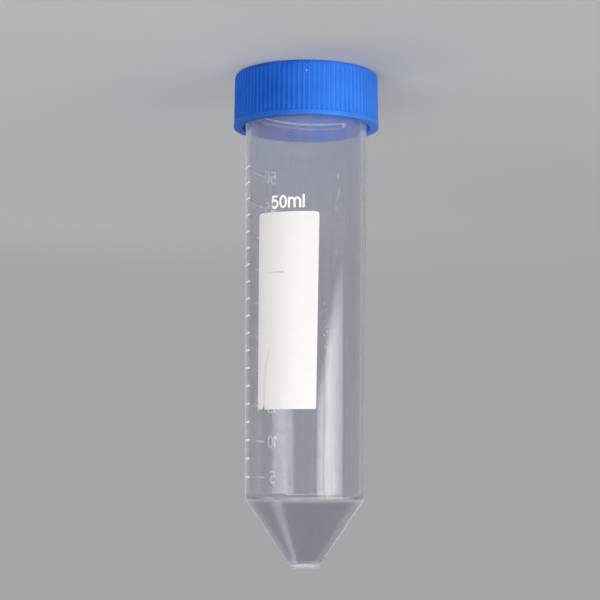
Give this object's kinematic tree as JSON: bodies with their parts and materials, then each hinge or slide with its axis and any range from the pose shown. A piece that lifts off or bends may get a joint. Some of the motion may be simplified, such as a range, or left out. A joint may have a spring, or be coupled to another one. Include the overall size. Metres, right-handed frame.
{
  "type": "conical centrifuge tube with screw cap",
  "caption": "Clear-walled conical bottom tube with printed scale and writing patch, closed by a ribbed screw cap and standing on the cap.",
  "frame": {"origin": "centre of the cap's flat top, which rests on the ground with the closed tube standing on it", "axes": "+Z runs from the cap's top along the common axis to the tip of the cone; the printed side faces -Y"},
  "size_m": [0.0358, 0.0356, 0.1205],
  "materials": {
    "tube_plastic": "milky see-through moulded polypropylene",
    "cap_plastic": "satin moulded polyethylene",
    "print_white": "white screen print"
  },
  "bodies": {
    "cap": {"cap": "cap_plastic"},
    "tube": {"tube": "tube_plastic"}
  },
  "joints": [
    {"name": "cap_off", "type": "slide", "parent": "cap", "child": "tube", "axis": [0, 0, 1], "range_m": [0, 0.018]}
  ]
}
